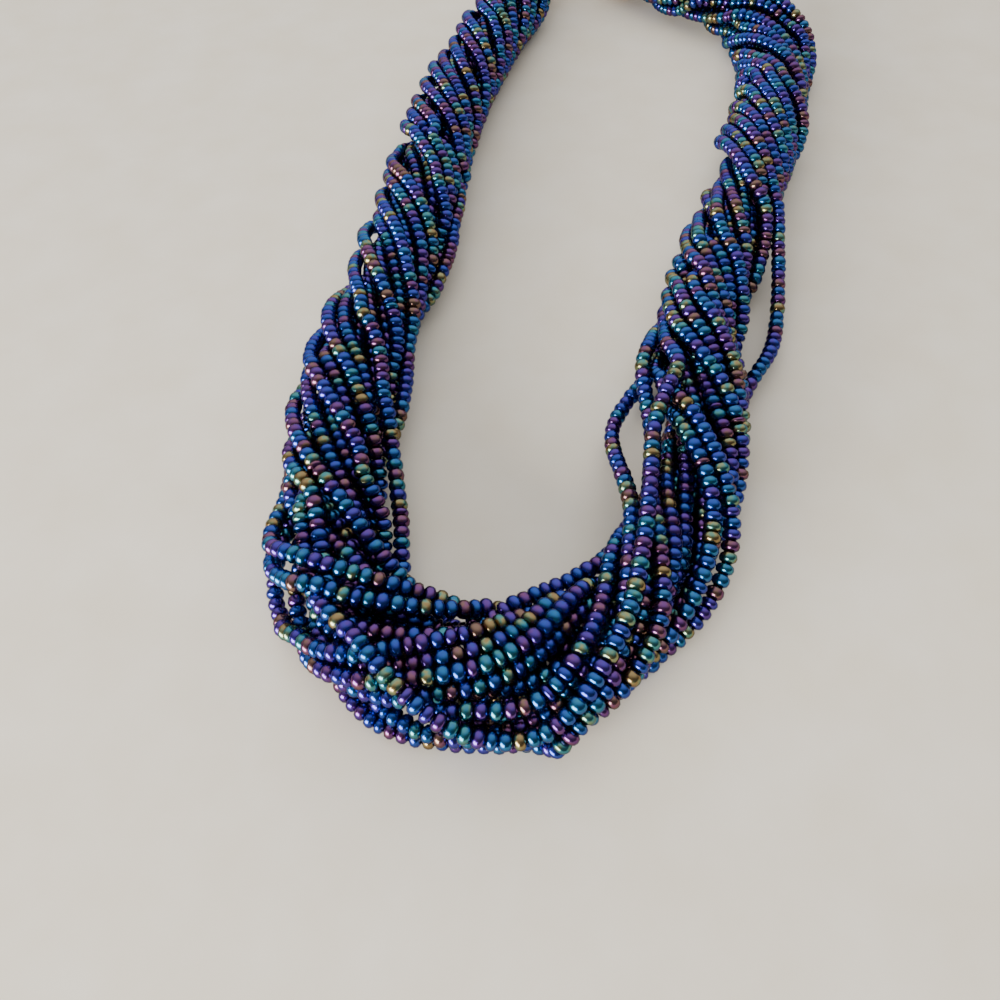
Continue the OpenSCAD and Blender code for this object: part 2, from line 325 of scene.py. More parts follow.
def smoothed(rows, s):
    """Rows of curves, each averaged over a short length so that they have no corners."""
    half = round(SMOOTH_OVER / (s[1] - s[0]))
    weights = np.hanning(2 * half + 1)
    return np.stack([
        np.convolve(np.pad(row, half, mode="edge"), weights / weights.sum(), mode="valid") for row in rows
    ])


def follow_tables(s, turn, layers):
    """Turns after the slack strands left their place, how far outside they run, and where they are held."""
    outside, held, busy = np.zeros_like(turn), np.zeros_like(turn), {}
    for layer, rows in [(layer, rows) for layer, tables in layers for rows in tables.values()]:
        table = np.array(rows, float)
        along, off = table[:, ALONG], table[:, OUTSIDE]
        begin, end = along[0], along[-1]
        goal = np.interp(s, along, np.radians(table[:, ROUND]))
        here = np.searchsorted(s, begin)
        free = [k for k in layer if busy.get(k, 0) < begin - JOIN]
        k = min(free, key=lambda k: abs((goal[here] - turn[k, here] + math.pi) % (2 * math.pi) - math.pi))
        busy[k] = end + JOIN
        change = goal - turn[k]
        change += 2 * math.pi * round(-change[here] / (2 * math.pi))
        change[s > end] = change[s <= end][-1]
        turn[k] += np.where(s < begin, change[here] * np.clip((s - begin) / JOIN + 1, 0, 1), change)
        outside[k] += np.interp(s, [begin - JOIN, *along, end + JOIN], [0, *off, 0])
        held[k] += np.interp(s, [begin - JOIN / 2, begin, end, end + JOIN / 2], [0, 1, 1, 0])
    return smoothed(turn, s), smoothed(outside, s), held


print("a strand takes", JOIN, "mm to come round to its table")

# %% [markdown]
# ## Laying up
#
# Now the layers, the twist, the wandering and the tables come together. It could be done with one curve
# for each strand and modifiers that bend them along the path, but random numbers and tables mix more
# simply as sums. Near the caps nothing wanders, and a strand that hangs far out sags by its weight. Each
# kind of wandering has a size and a length over which it changes. Then beads are put on at an even pitch,
# which gives the simulation that follows its particles.

# %% Lay up all the strands
LAY = 72.0
PITCH = 1.65
LAYOUT_POINTS = 900
END_ROOM = 1.0
FREE_AFTER = 30
UNEVEN_TWIST, TWIST_OVER = 0.3, 60
BUNCHES = 4
BUNCHING = 0.55
BUNCH_DRIFT, DRIFT_OVER = 1.2, 70
SLIDE, SLIDE_OVER = 0.2, 28
SWELL, SWELL_OVER = 0.14, 30
NEAREST_HEART, FARTHEST_OUT = 0.02, 1.12
SAG = 0.5
TIGHT = 2.8


def lay_up():
    """The line that each strand would follow if the others left it room."""
    s = np.linspace(END_ROOM, SPAN - END_ROOM, LAYOUT_POINTS)
    places = np.array([
        (share, 2 * math.pi * (k + 0.5 * (layer % 2)) / count)
        for layer, (share, count) in enumerate(LAYERS) for k in range(count)
    ])
    free = np.clip(np.minimum(s, SPAN - s) / FREE_AFTER, 0, 1)
    twist = 2 * math.pi * s / LAY + UNEVEN_TWIST * wander(s, TWIST_OVER, 1)[0]
    drift = BUNCH_DRIFT * wander(s, DRIFT_OVER, 1)[0]
    bunch = BUNCHING / BUNCHES * free * np.sin(BUNCHES * places[:, 1:] + drift)
    turn = places[:, 1:] - twist + bunch + SLIDE * free * wander(s, SLIDE_OVER, len(places))
    out = places[:, :1] + SWELL * free * wander(s, SWELL_OVER, len(places))
    out = np.clip(out, NEAREST_HEART, FARTHEST_OUT)
    heart, inner = LAYERS[0][1], LAYERS[0][1] + LAYERS[1][1]
    layers = [(range(inner, len(places)), SLACK), (range(heart, inner), FILLERS)]
    turn, outside, held = follow_tables(s, turn, layers)
    w, h = half_sizes(s)
    n, u = section_at(s)
    across, above = (w * out + outside) * np.cos(turn), (h * out + outside) * np.sin(turn)
    lines = middle_at(s) + n * across[..., None] + u * above[..., None]
    lines[..., 2] -= SAG * np.maximum(outside - TIGHT, 0)
    lines[..., 2] = np.maximum(lines[..., 2], bead_r)
    return s, lines, held


def string_beads(s, lines, held):
    """Beads at an even pitch on each line: their places, their strands, how far along, and how slack."""
    rows = []
    for number, line in enumerate(lines):
        run = run_of(line)
        stops = np.linspace(0, run[-1], round(run[-1] / PITCH) + 1)
        columns = [np.interp(stops, run, c) for c in (*line.T, s, held[number])]
        rows.append(np.stack(columns + [np.full(len(stops), number)], 1))
    x, y, z, along_rope, is_slack, on_strand = np.vstack(rows).T
    return np.stack([x, y, z], 1), on_strand.astype(int), along_rope, is_slack


beads, strand, along, slack = string_beads(*lay_up())
print(len(beads), "beads on", strand.max() + 1, "strands")

# %% [markdown]
# ## Which beads are near each other
#
# The simulation asks again and again which beads touch. Comparing every bead with every other one would
# take far too long. So they are sorted into cubes of space as wide as the reach, and each bead is
# compared with those in its own cube and in half of the cubes round it, because the other half finds it
# in turn. Neighbours on one thread always touch, so they are left out.

# %% Near beads
CONTACT = 2.46
NEIGHBOURS = 3


def near_pairs(x, strand, reach):
    """Pairs of beads whose middles are nearer than reach, without those that are neighbours on a thread."""
    cell = np.floor(x / reach).astype(np.int64)
    cell -= cell.min(0) - 1
    size = cell.max(0) + 2
    key = (cell[:, 0] * size[1] + cell[:, 1]) * size[2] + cell[:, 2]
    order = np.argsort(key, kind="stable")
    key, here = key[order], np.arange(len(key))
    pairs = []
    for step in [(dx, dy, dz) for dx in (0, 1) for dy in (-1, 0, 1) for dz in (-1, 0, 1)]:
        if step < (0, 0, 0):
            continue
        wanted = key + (step[0] * size[1] + step[1]) * size[2] + step[2]
        low = here + 1 if step == (0, 0, 0) else np.searchsorted(key, wanted, "left")
        many = np.maximum(np.searchsorted(key, wanted, "right") - low, 0)
        other = np.arange(many.sum()) - np.repeat(np.cumsum(many) - many, many) + np.repeat(low, many)
        pairs.append(np.stack([order[np.repeat(here, many)], order[other]]))
    i, j = np.hstack(pairs)
    near = ((x[i] - x[j]) ** 2).sum(1) < reach**2
    near &= (strand[i] != strand[j]) | (abs(i - j) > NEIGHBOURS)
    return i[near], j[near]


print(len(near_pairs(beads, strand, CONTACT)[0]), "pairs of beads overlap before they settle")

# %% [markdown]
# ## What beads do to each other
#
# Lines that only wander run through each other. Real strands push each other aside, so the beads are
# settled by a small simulation of the kind that games use for ropes: nothing has a speed, and each rule
# just moves beads that break it. There are three rules between beads. Overlapping ones move apart, and in
# a crowd each takes only part of the pushes, or it would jump. A bend that is sharper than the beads'
# edges allow opens up. Neighbours on a thread go back to their pitch.

# %% Rules between beads
CROWD = 1.4
OPEN_UP = 0.25
SHARPEST_BEND = math.radians(11)
SHORTEST_PAIR = 2 * PITCH * math.cos(SHARPEST_BEND)
TINY = 1e-6


def way_between(x, a, b):
    """The way to beads a from beads b, and its length."""
    way = x[a] - x[b]
    return way, np.sqrt((way**2).sum(1))


def summed(a, b, push, count):
    """All the pushes on each bead: each moves its bead of a, and moves its bead of b the other way."""
    return np.stack([np.bincount(a, p, count) - np.bincount(b, p, count) for p in push.T], 1)


def part_beads(x, i, j, free):
    """Moves beads apart that overlap."""
    way, far = way_between(x, i, j)
    push = way * (0.5 * np.maximum(CONTACT - far, 0) / np.maximum(far, TINY))[:, None]
    met = far < CONTACT
    meets = np.bincount(i[met], minlength=len(x)) + np.bincount(j[met], minlength=len(x))
    return x + summed(i, j, push, len(x)) * (CROWD / np.maximum(meets, CROWD) * free)[:, None]


def open_bends(x, bends, free):
    """Moves the first and third of three beads apart where the thread bends too sharply."""
    way, far = way_between(x, bends + 2, bends)
    push = way * (OPEN_UP * np.maximum(SHORTEST_PAIR - far, 0) / far)[:, None]
    return x + summed(bends + 2, bends, push, len(x)) * free[:, None]


def back_to_pitch(x, thread, free):
    """Moves neighbours on a thread to their pitch: first every other pair, then the pairs between."""
    for some in (thread[thread % 2 == 0], thread[thread % 2 == 1]):
        way, far = way_between(x, some + 1, some)
        give, take = free[some], free[some + 1]
        pull = way * ((far - PITCH) / far / np.maximum(give + take, 1))[:, None]
        x[some] += pull * give[:, None]
        x[some + 1] -= pull * take[:, None]
    return x


print("three beads in a row are at least %.2f mm from first to last" % SHORTEST_PAIR)

# %% [markdown]
# ## Letting the strands settle
#
# Every step moves each bead a little: back towards where it was laid, less and less, down by gravity,
# then by the rules between beads, and up if it is in the table. The twist of a real torsade holds it
# together, so beads that are pushed out of the rope are drawn back in, apart from those of the slack
# strands, which follow their tables to the end. The first and last few beads of each strand are held by
# the caps.

# %% Settling
SETTLE_STEPS = 300
LOOK_EVERY = 6
LOOK_MARGIN = 0.7
HELD_BEADS = 3
GRAVITY = 0.004
GUIDE = 0.02
SLACK_GUIDE = 0.1
ROPE_LIMIT = 1.02
DRAW_IN = 0.3
THREAD_ROUNDS = 3
DEEP = 0.3


def settle(x, strand, along, slack, steps):
    """Beads moved until they hardly overlap."""
    aim, index = x.copy(), np.arange(len(x))
    hub, (n, u), (w, h) = middle_at(along), section_at(along), half_sizes(along)
    starts = np.flatnonzero(np.diff(strand)) + 1
    first, after = np.r_[0, starts][strand], np.r_[starts, len(x)][strand]
    free = (np.minimum(index - first, after - 1 - index) >= HELD_BEADS).astype(float)
    thread = index[:-1][strand[:-1] == strand[1:]]
    bends = index[:-2][strand[:-2] == strand[2:]]
    for step in range(steps):
        if step % LOOK_EVERY == 0:
            i, j = near_pairs(x, strand, CONTACT + LOOK_MARGIN)
        guide = GUIDE * (1 - step / steps) * (1 - slack) + SLACK_GUIDE * slack
        x = x + (aim - x) * (guide * free)[:, None]
        x[:, 2] -= GRAVITY * free
        across, above = ((x - hub) * n).sum(1), ((x - hub) * u).sum(1)
        beyond = 1 - ROPE_LIMIT / np.maximum(np.hypot(across / w, above / h), ROPE_LIMIT)
        beyond *= DRAW_IN * (1 - slack) * free
        x -= n * (beyond * across)[:, None] + u * (beyond * above)[:, None]
        x = part_beads(x, i, j, free)
        for _ in range(THREAD_ROUNDS):
            x = back_to_pitch(open_bends(x, bends, free), thread, free)
        x[:, 2] = np.maximum(x[:, 2], bead_r)
    return x


beads = settle(beads, strand, along, slack, SETTLE_STEPS)
_, far = way_between(beads, *near_pairs(beads, strand, CONTACT))
print("%d touching pairs, %d of them over %.1f mm deep, after %.0f s" % (
    len(far), (far < BEAD_D - DEEP).sum(), DEEP, time.time() - STARTED))

# %% [markdown]
# ## One seed bead
#
# A seed bead is a slice of a thin glass tube, tumbled hot until its edges are round, so it is a short
# barrel and not a ball. It starts as a fourteen sided cylinder. Cutting its sides once gives a belt that
# is pushed out to the full width, and both ends are extruded and drawn in to the shoulder. Fifty-eight
# faces are enough, because it is repeated thousands of times and smooth shading rounds it. The cut is
# made in edge mode: in vertex mode Blender would select the rims too, and cut them as well. The hole is
# never seen on a full thread, so the ends stay closed.

# %% Model a bead
BEAD_L = 1.6
BARREL_L = 0.9
BARREL_D = 2.26
END_D = 1.3
SIDES = 14
LEVEL = 1e-6
bpy.ops.object.select_all(action="DESELECT")
bpy.ops.mesh.primitive_cylinder_add(vertices=SIDES, radius=BARREL_D / 2 * MM, depth=BARREL_L * MM)
bead = bpy.context.object
bead.name = "seed_bead"
bpy.ops.object.mode_set(mode="EDIT")
bpy.ops.mesh.select_mode(type="EDGE")
bpy.ops.mesh.select_all(action="DESELECT")
bpy.ops.object.mode_set(mode="OBJECT")


def select_none(mesh):
    """Takes the selection off every face, edge and vertex."""
    for group in (mesh.polygons, mesh.edges, mesh.vertices):
        group.foreach_set("select", [False] * len(group))


def select_edges(test):
    """Selects the edges whose two ends pass the test, and nothing else."""
    mesh = bead.data
    select_none(mesh)
    for edge in mesh.edges:
        edge.select = test(*[mesh.vertices[v].co for v in edge.vertices])
        for v in edge.vertices:
            mesh.vertices[v].select |= edge.select


def select_end(sign):
    """Selects the face that closes one end of the bead."""
    mesh = bead.data
    select_none(mesh)
    face = max(mesh.polygons, key=lambda f: sign * f.center.z)
    face.select = True
    for v in face.vertices:
        mesh.vertices[v].select = True


select_edges(lambda a, b: abs(a.z - b.z) > BARREL_L * MM / 2)
bpy.ops.object.mode_set(mode="EDIT")
bpy.ops.mesh.subdivide(number_cuts=1)
bpy.ops.object.mode_set(mode="OBJECT")
select_edges(lambda a, b: abs(a.z) + abs(b.z) < LEVEL)
bpy.ops.object.mode_set(mode="EDIT")
belt = BEAD_D / BARREL_D
bpy.ops.transform.resize(value=(belt, belt, 1))
bpy.ops.object.mode_set(mode="OBJECT")
for sign in (1, -1):
    select_end(sign)
    bpy.ops.object.mode_set(mode="EDIT")
    bpy.ops.mesh.select_mode(type="FACE")
    shoulder = sign * (BEAD_L - BARREL_L) / 2 * MM
    bpy.ops.mesh.extrude_region_move(TRANSFORM_OT_translate={"value": (0, 0, shoulder)})
    narrower = END_D / BARREL_D
    bpy.ops.transform.resize(value=(narrower, narrower, 1))
    bpy.ops.object.mode_set(mode="OBJECT")
bpy.ops.object.shade_smooth()
print("bead", [round(d / MM, 2) for d in bead.dimensions], "mm with", len(bead.data.polygons), "faces")

# %% [markdown]
# ## Unrolling the bead
#
# A finish that is baked to an image needs a map without overlaps. One bead unrolls to a strip, round its
# axis from left to right and from end to end upwards, with its two end faces as small discs in the
# margins. On a strand every bead then gets a square of its own.

# %% The bead as arrays
STRIP_LEFT = 0.03
STRIP_WIDE = 0.86
STRIP_HALF_HIGH = 0.38
DISC_R = 0.04
DISC_AT = (0.5, 0.05)
bead_points = np.array([v.co for v in bead.data.vertices])
bead_faces = [list(f.vertices) for f in bead.data.polygons]
bead_map = []
for face in bead_faces:
    corners = bead_points[face]
    round_at = np.arctan2(corners[:, 1], corners[:, 0]) / (2 * math.pi) % 1
    if len(face) == SIDES:
        disc = DISC_R * corners[:, :2] / np.abs(corners[:, :2]).max()
        bead_map.append(disc + (DISC_AT[0], DISC_AT[1] if corners[0, 2] < 0 else 1 - DISC_AT[1]))
        continue
    if np.ptp(round_at) > 0.5:
        round_at[round_at < 0.5] += 1
    up_at = corners[:, 2] / (BEAD_L / 2 * MM)
    bead_map.append(np.stack([STRIP_LEFT + STRIP_WIDE * round_at, 0.5 + STRIP_HALF_HIGH * up_at], 1))
bpy.data.objects.remove(bead)
print("map reaches", np.vstack(bead_map).min(0).round(2), np.vstack(bead_map).max(0).round(2))

# %% [markdown]
# ## Beads that are not quite alike
#
# Real seed beads are never quite alike, so the settled thread is strung again with beads of different
# lengths, now and then one that was cut very short. Each is also a little thicker or thinner than the
# next, leans a few degrees on the thread, and is turned so that no two show the same side. Instances
# would be lighter, but then no bead could have its own length and lean, and a mesh holds the number that
# its colour is looked up by. Chance is held in: no bead is off by more than twice the usual spread, and
# none is thicker by more than once.

# %% String the beads again
LEAN = math.radians(4)
THICKNESS_VARIES = 0.03
LENGTH_VARIES = 0.09
MOST_OFF = 2
MOST_THICK = 1
THIN_SHARE = 0.03
THIN = 0.6
NEVER_ZERO = 1e-9


def unit(v):
    """The same directions with a length of one."""
    return v / np.linalg.norm(v, axis=-1, keepdims=True)


def axes_along(line):
    """The direction of the line at each point, and two directions across it."""
    ahead_of = unit(np.gradient(line, axis=0))
    side = unit(np.cross(ahead_of, [0.0, 0.0, 1.0]) + NEVER_ZERO)
    return ahead_of, side, np.cross(ahead_of, side)


def restring(line):
    """The same thread with beads of different lengths: where each one is, and how long it is."""
    run = run_of(line)
    longs = 1 + LENGTH_VARIES * rng.standard_normal(len(line)).clip(-MOST_OFF, MOST_OFF)
    longs[rng.random(len(line)) < THIN_SHARE] *= THIN
    longs *= run[-1] / PITCH / longs.sum()
    at = (np.cumsum(longs) - longs / 2) * PITCH
    return np.stack([np.interp(at, run, line[:, k]) for k in range(3)], 1), longs[:, None]


def bead_copies(line, longs):
    """Vertices of one bead for each point of the line, in millimetres."""
    count = len(line)
    ahead_of, side, up = axes_along(line)
    tilts = math.tan(LEAN) / 2 * rng.standard_normal((2, count, 1))
    z = unit(ahead_of + side * tilts[0] + up * tilts[1])
    x = unit(np.cross(z, unit(rng.standard_normal((count, 3)))))
    y = np.cross(z, x)
    thick = 1 + THICKNESS_VARIES * rng.standard_normal((count, 1)).clip(-MOST_OFF, MOST_THICK)
    local = bead_points / MM
    return (
        line[:, None, :]
        + local[None, :, :1] * (x * thick)[:, None, :]
        + local[None, :, 1:2] * (y * thick)[:, None, :]
        + local[None, :, 2:] * (z * longs)[:, None, :]
    ).reshape(-1, 3)


print("lengths vary by %.0f%%, thickness by %.0f%%" % (100 * LENGTH_VARIES, 100 * THICKNESS_VARIES))

# %% [markdown]
# ## The thread
#
# The thread is a thin tube through all the bead centres. A curve with a round bevel would look the same,
# but a strand is to be one mesh, and a tube's rings of points are quickly worked out. Five sides are
# enough for what shows of it.

# %% A tube for the thread
THREAD_D = 0.5
THREAD_SIDES = 5


def thread_tube(line):
    """Vertices and faces of a thin tube along the line."""
    _, side, up = axes_along(line)
    turn = 2 * math.pi * np.arange(THREAD_SIDES) / THREAD_SIDES
    ring = side[:, None, :] * np.cos(turn)[None, :, None] + up[:, None, :] * np.sin(turn)[None, :, None]
    points = (line[:, None, :] + ring * THREAD_D / 2).reshape(-1, 3)
    a = np.arange((len(line) - 1) * THREAD_SIDES)
    b = a // THREAD_SIDES * THREAD_SIDES + (a + 1) % THREAD_SIDES
    quads = np.stack([a, a + THREAD_SIDES, b + THREAD_SIDES, b], 1)
    lids = [list(range(THREAD_SIDES)), list(range(len(points) - 1, len(points) - 1 - THREAD_SIDES, -1))]
    return points, [list(q) for q in quads] + lids


print("a thread through two beads has", len(thread_tube(beads[:2])[1]), "faces")

# %% [markdown]
# ## The map of a strand
#
# The whole strand needs a map without overlaps too. Each of its beads gets a square of a grid, and so
# does its thread, whose two ends lie small at the edge of its square.

# %% Unroll a strand
THREAD_MARGIN = 0.04
THREAD_PATCH = (0.88, 0.92)
LID_CORNERS = [(0.96, 0.02), (0.97, 0.02), (0.98, 0.03), (0.97, 0.04), (0.96, 0.04)]


def unrolled(count, segments):
    """The map of a strand: a square for each bead and one more for the thread, side by side in a grid."""
    across = math.ceil(math.sqrt(count + 1))
    places = np.stack([np.arange(count + 1) % across, np.arange(count + 1) // across], 1)
    one = np.vstack(bead_map)
    beads_map = (places[:-1, None, :] + one[None]).reshape(-1, 2)
    k = np.arange(segments * THREAD_SIDES)
    low, left = k // THREAD_SIDES / segments, k % THREAD_SIDES / THREAD_SIDES
    high, right_of = low + 1 / segments, left + 1 / THREAD_SIDES
    corners = np.stack([left, low, left, high, right_of, high, right_of, low], 1).reshape(-1, 2)
    lids = np.tile(LID_CORNERS, (2, 1))
    thread_map = places[-1] + np.vstack([THREAD_MARGIN + corners * THREAD_PATCH, lids])
    return np.vstack([beads_map, thread_map]) / across


print("the map of ten beads reaches", unrolled(10, 9).max(0).round(2))

# %% [markdown]
# ## From beads to strands
#
# A strand is one mesh: the bead copied to every place along its thread, and the thread itself. Beads and
# thread have a material slot each, and every bead keeps one random number for its film colour.

# %% Build the strands
def build_strand(name, line, iris):
    """One strand's mesh. iris holds a number for each bead, which its colour is looked up by."""
    count, points_each = len(line), len(bead_points)
    line, longs = restring(line)
    tube, tube_faces = thread_tube(line)
    points = np.vstack([bead_copies(line, longs), tube]) * MM
    points[:, 2] = np.maximum(points[:, 2], 0)
    faces = [[v + k * points_each for v in f] for k in range(count) for f in bead_faces]
    faces += [[v + count * points_each for v in f] for f in tube_faces]
    mesh = bpy.data.meshes.new(name)
    mesh.from_pydata(points.tolist(), [], faces)
    mesh.polygons.foreach_set("use_smooth", [True] * len(mesh.polygons))
    bead_face_count = count * len(bead_faces)
    mesh.polygons.foreach_set("material_index", [0] * bead_face_count + [1] * len(tube_faces))
    colour = mesh.attributes.new("iris", "FLOAT", "POINT")
    film = np.r_[np.repeat(iris, points_each), np.zeros(len(tube))]
    colour.data.foreach_set("value", film.astype(np.float32))
    flat = mesh.uv_layers.new(name="OFBake")
    flat.data.foreach_set("uv", unrolled(count, count - 1).astype(np.float32).ravel())
    mesh.update()
    made = bpy.data.objects.new(name, mesh)
    bpy.context.scene.collection.objects.link(made)
    return made


strands = []
for number in range(strand.max() + 1):
    line = beads[strand == number]
    strands.append(build_strand("strand_%02d" % (number + 1), line, rng.random(len(line))))
tris = sum(len(p.vertices) - 2 for s in strands for p in s.data.polygons)
print(len(strands), "strands,", tris, "triangles, after %.0f s" % (time.time() - STARTED))

# %% [markdown]
# ## Colours and nodes
#
# Colours are written as the hex values that a painter would pick on a screen, so one function turns them
# to the linear values that the shaders want. A second one adds a node with its settings, values and
# links, so that each finish below reads as a short list of what it is made of, and a third starts an
# empty material.

# %% Colours and nodes
def linear(hex_colour):
    """The linear RGBA of an sRGB hex colour such as #3a4fa0."""
    parts = [int(hex_colour[i : i + 2], 16) / 255 for i in (1, 3, 5)]
    return tuple(p / 12.92 if p <= 0.04045 else ((p + 0.055) / 1.055) ** 2.4 for p in parts) + (1.0,)


def add_node(tree, kind, settings=None, inputs=None, links=None):
    """Adds one node: its settings, the values of its inputs, and what is linked to its inputs."""
    made = tree.nodes.new(kind)
    for name, value in (settings or {}).items():
        setattr(made, name, value)
    for name, value in (inputs or {}).items():
        made.inputs[name].default_value = value
    for name, socket in (links or {}).items():
        tree.links.new(socket, made.inputs[name])
    return made


def new_material(name):
    """An empty material with its output node, ready for a shader."""
    made = bpy.data.materials.new(name)
    made.use_nodes = True
    made.node_tree.nodes.clear()
    return made, made.node_tree, add_node(made.node_tree, "ShaderNodeOutputMaterial")


print("middle grey #808080 is %.3f in linear light" % linear("#808080")[0])

# %% [markdown]
# ## Iris glass
#
# The beads are cut from a drawn tube of near black glass and fumed with a metal oxide while hot. The
# oxide film is thinner than a light wave, so it reflects one colour and lets the black glass swallow the
# rest. Its thickness differs from bead to bead, and even over one bead, and the colour runs through a
# fixed order with it: bronze, plum, violet, blue, teal, sage green and gold. So one colour ramp in that
# order serves all the beads. Each bead's own number picks the place on it, and a slow noise shifts that
# place a little over the bead.

# %% Iris glass material
IRIS_COLOURS = [
    (0.00, "#6f5446"), (0.05, "#6e4456"), (0.12, "#623465"), (0.22, "#522e7a"), (0.34, "#3d2d8b"),
    (0.45, "#2a3992"), (0.56, "#1e4393"), (0.69, "#1d5790"), (0.80, "#266989"), (0.87, "#35787d"),
    (0.92, "#567d6a"), (0.96, "#7f8057"), (1.00, "#836c44"),
]
FILM_PATCH = 1.1
iris_glass, tree, output = new_material("iris_fumed_glass")
own = add_node(tree, "ShaderNodeAttribute", {"attribute_name": "iris"})
place = add_node(tree, "ShaderNodeTexCoord")
patches = add_node(
    tree, "ShaderNodeTexNoise", None, {"Scale": 1 / (FILM_PATCH * MM), "Detail": 1.0},
    {"Vector": place.outputs["Object"]},
)
shift = add_node(
    tree, "ShaderNodeMapRange", None, {"From Min": 0.3, "From Max": 0.7, "To Min": -0.07, "To Max": 0.07},
    {"Value": patches.outputs["Fac"]},
)
film = add_node(
    tree, "ShaderNodeMath", {"operation": "ADD"}, None, {0: own.outputs["Fac"], 1: shift.outputs["Result"]}
)
ramp = add_node(tree, "ShaderNodeValToRGB", None, None, {"Fac": film.outputs["Value"]})
stops = ramp.color_ramp.elements
while len(stops) < len(IRIS_COLOURS):
    stops.new(0.5)
for stop, (where, colour) in zip(stops, IRIS_COLOURS):
    stop.position = where
    stop.color = linear(colour)
shader = add_node(
    tree, "ShaderNodeBsdfPrincipled", None,
    {"Metallic": 1.0, "Roughness": 0.25, "Coat Weight": 0.4, "Coat Roughness": 0.04, "Coat IOR": 1.5,
     "Specular Tint": linear("#403c70")},
    {"Base Color": ramp.outputs["Color"]},
)
tree.links.new(shader.outputs["BSDF"], output.inputs["Surface"])
print("iris glass with", len(IRIS_COLOURS), "film colours")

# %% [markdown]
# ## Waxed thread
#
# Torsades are strung on dark waxed nylon. Only hints of it show, between beads on a sharp bend and at the
# mouths of the caps. Modelled plies would cost far more faces than they are worth at half a millimetre.
# Bands that lean across the thread say twist well enough. The lighter bands are the plies' own dark navy,
# and the darker ones are painted shade in the groove between them; a small bump gives the relief. The
# bands of a wave texture lie about a third of a unit apart at scale 1, so that is divided by the ply's
# width.

# %% Thread material
PLY = 0.35
BAND_AT_SCALE_1 = 0.31
waxed_thread, tree, output = new_material("waxed_nylon_thread")
place = add_node(tree, "ShaderNodeTexCoord")
plies = add_node(
    tree, "ShaderNodeTexWave", {"bands_direction": "DIAGONAL"},
    {"Scale": BAND_AT_SCALE_1 / (PLY * MM), "Distortion": 1.5, "Detail": 2.0},
    {"Vector": place.outputs["Object"]},
)
# The ramp's darker colour is painted shade in the grooves between the plies.
ramp = add_node(tree, "ShaderNodeValToRGB", None, None, {"Fac": plies.outputs["Fac"]})
for stop, colour in zip(ramp.color_ramp.elements, ("#0b0b12", "#262638")):
    stop.color = linear(colour)
relief = add_node(
    tree, "ShaderNodeBump", None, {"Strength": 0.4, "Distance": 0.05 * MM}, {"Height": plies.outputs["Fac"]}
)
shader = add_node(
    tree, "ShaderNodeBsdfPrincipled", None, {"Roughness": 0.55},
    {"Base Color": ramp.outputs["Color"], "Normal": relief.outputs["Normal"]},
)
tree.links.new(shader.outputs["BSDF"], output.inputs["Surface"])
print("thread with plies", PLY, "mm wide")

# %% [markdown]
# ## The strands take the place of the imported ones
#
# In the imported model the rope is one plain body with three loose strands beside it, which is all that a
# check needs. The real strands replace all four of them, and ride on the same body.

# %% Dress the strands
for made in strands:
    made.data.materials.append(iris_glass)
    made.data.materials.append(waxed_thread)
    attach(made, "root")
    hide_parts("strand_bundle", "loose_strand_inner", "loose_strand_outer", "loose_strand_front")
print(len(strands), "strands ride on the root")

# %% [markdown]
# ## Antiqued bronze
#
# Caps, pins and clasp are brass that was plated, blackened and rubbed back, so that high places shine and
# the rest stays brown. A painted picture of wear would need a map for each piece. A noise of the size of
# a fingertip's rub does it for all of them: it picks the colour between the black brown of the bath and
# the rubbed metal, and the same noise makes the brown places duller. A much finer one gives the grain of
# the casting.

# %% Bronze
RUB = 2.2
GRAIN = 0.25
RUBBED = [(0.28, "#4a3322"), (0.5, "#7a5534"), (0.74, "#9c774a")]
FINDINGS = ("end_cap_left", "end_cap_right", "eye_pin_left", "eye_pin_right", "clasp")
bronze, tree, output = new_material("antiqued_bronze")
place = add_node(tree, "ShaderNodeTexCoord")
rub = add_node(
    tree, "ShaderNodeTexNoise", None, {"Scale": 1 / (RUB * MM), "Detail": 3.0, "Roughness": 0.6},
    {"Vector": place.outputs["Object"]},
)
worn = add_node(tree, "ShaderNodeValToRGB", None, None, {"Fac": rub.outputs["Fac"]})
worn.color_ramp.elements.new(0.5)
for stop, (where, colour) in zip(worn.color_ramp.elements, RUBBED):
    stop.position = where
    stop.color = linear(colour)
dull = add_node(
    tree, "ShaderNodeMapRange", None, {"From Min": 0.3, "From Max": 0.7, "To Min": 0.48, "To Max": 0.26},
    {"Value": rub.outputs["Fac"]},
)
grain = add_node(
    tree, "ShaderNodeTexNoise", None, {"Scale": 1 / (GRAIN * MM), "Detail": 2.0},
    {"Vector": place.outputs["Object"]},
)
relief = add_node(
    tree, "ShaderNodeBump", None, {"Strength": 0.3, "Distance": 0.03 * MM}, {"Height": grain.outputs["Fac"]}
)
shader = add_node(
    tree, "ShaderNodeBsdfPrincipled", None, {"Metallic": 1.0},
    {"Base Color": worn.outputs["Color"], "Roughness": dull.outputs["Result"],
     "Normal": relief.outputs["Normal"]},
)
tree.links.new(shader.outputs["BSDF"], output.inputs["Surface"])
for node in FINDINGS:
    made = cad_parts[node]
    made.data.materials.clear()
    made.data.materials.append(bronze)
print("bronze on", len(FINDINGS), "findings")

# %% [markdown]
# ## A table to lie on
#
# The necklace is judged on a plain pale floor. It is warm and a little uneven, as plaster is, because a
# perfectly even one looks like no surface at all next to so many small highlights. It is six metres wide,
# so its edge is far away. It belongs to the picture, not to the necklace, so it is only staged.

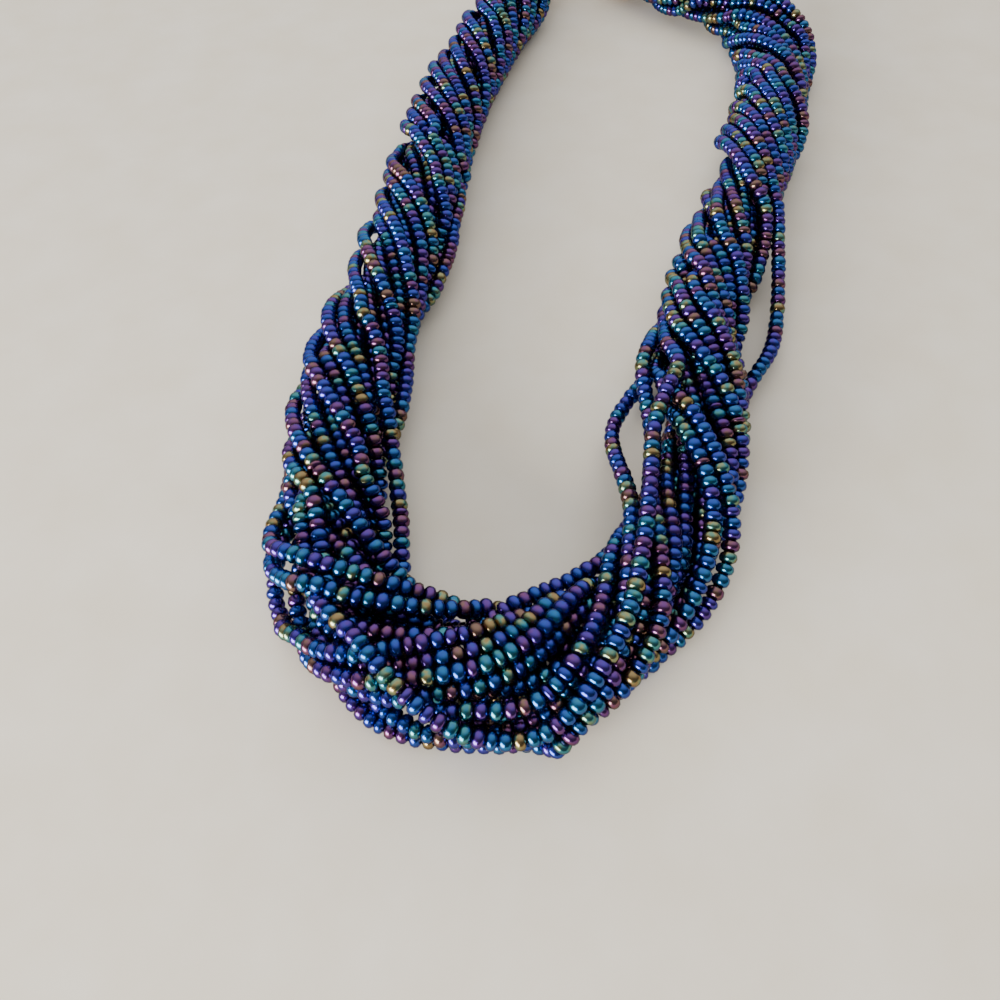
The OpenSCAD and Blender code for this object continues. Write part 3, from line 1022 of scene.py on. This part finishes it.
# %% Floor
FLOOR_SIZE = 6
CLOUD = 12
PLASTER = [(0.3, "#efe2ca"), (0.7, "#f5ead6")]
bpy.ops.object.select_all(action="DESELECT")
bpy.ops.mesh.primitive_plane_add(size=FLOOR_SIZE)
floor = bpy.context.object
floor.name = "floor"
pale, tree, output = new_material("pale_plaster")
place = add_node(tree, "ShaderNodeTexCoord")
clouds = add_node(
    tree, "ShaderNodeTexNoise", None, {"Scale": 1 / (CLOUD * MM), "Detail": 4.0},
    {"Vector": place.outputs["Object"]},
)
tone = add_node(tree, "ShaderNodeValToRGB", None, None, {"Fac": clouds.outputs["Fac"]})
for stop, (where, colour) in zip(tone.color_ramp.elements, PLASTER):
    stop.position = where
    stop.color = linear(colour)
shader = add_node(
    tree, "ShaderNodeBsdfPrincipled", None, {"Roughness": 0.8}, {"Base Color": tone.outputs["Color"]}
)
tree.links.new(shader.outputs["BSDF"], output.inputs["Surface"])
floor.data.materials.append(pale)
print("floor", [round(d, 1) for d in floor.dimensions[:2]], "m")

# %% [markdown]
# ## One low window
#
# Glass beads show what is round them. Each of these shows one small bright dot low on its left, so there
# is a window low and to the left behind the camera. A sun would give harder shadows and a dot too small
# to see, so it is a rectangular lamp, as wide as a window looks from there. Its place and size are in
# metres.

# %% Window
WINDOW_AT = Vector((-0.486, -0.71, 0.15))
WINDOW_FACES = Vector((0, -0.06, 0.01))
WINDOW_SIZE = (0.75, 0.34)
WINDOW_WATTS = 25
bpy.ops.object.light_add(type="AREA", location=WINDOW_AT)
window = bpy.context.object
window.name = "low_window"
window.data.shape = "RECTANGLE"
window.data.size, window.data.size_y = WINDOW_SIZE
window.data.energy = WINDOW_WATTS
window.rotation_euler = (WINDOW_FACES - WINDOW_AT).to_track_quat("-Z", "Y").to_euler()
print("a window %.2f m wide, %.2f m away" % (WINDOW_SIZE[0], WINDOW_AT.length))

# %% [markdown]
# ## The room's light
#
# The rest of the light comes from above and beyond, from a pale ceiling and a bright wall, and fades
# towards the camera's side. On a round bead that is the broad soft patch on top, with dark rims below.
# Large lamps would do it too, but their edges show in the glass. So the room itself glows: how much a
# direction faces the bright way gives its brightness, with no edge anywhere.

# %% The room's light
BRIGHT_WAY = (0.0, 0.68, 0.73)
world = bpy.data.worlds.new("studio")
bpy.context.scene.world = world
world.use_nodes = True
tree = world.node_tree
way = add_node(tree, "ShaderNodeTexCoord")
facing = add_node(
    tree, "ShaderNodeVectorMath", {"operation": "DOT_PRODUCT"}, {1: BRIGHT_WAY},
    {0: way.outputs["Generated"]},
)
glow = add_node(
    tree, "ShaderNodeMapRange", {"interpolation_type": "SMOOTHSTEP"},
    {"From Min": 0.05, "From Max": 1.0, "To Min": 0.2, "To Max": 1.75}, {"Value": facing.outputs["Value"]},
)
background = tree.nodes["Background"]
background.inputs["Color"].default_value = linear("#f2f4f8")
tree.links.new(glow.outputs["Result"], background.inputs["Strength"])
print("the room glows from", BRIGHT_WAY)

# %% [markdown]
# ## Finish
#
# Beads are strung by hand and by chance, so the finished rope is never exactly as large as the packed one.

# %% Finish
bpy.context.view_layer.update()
print("made in %.0f s" % (time.time() - STARTED))
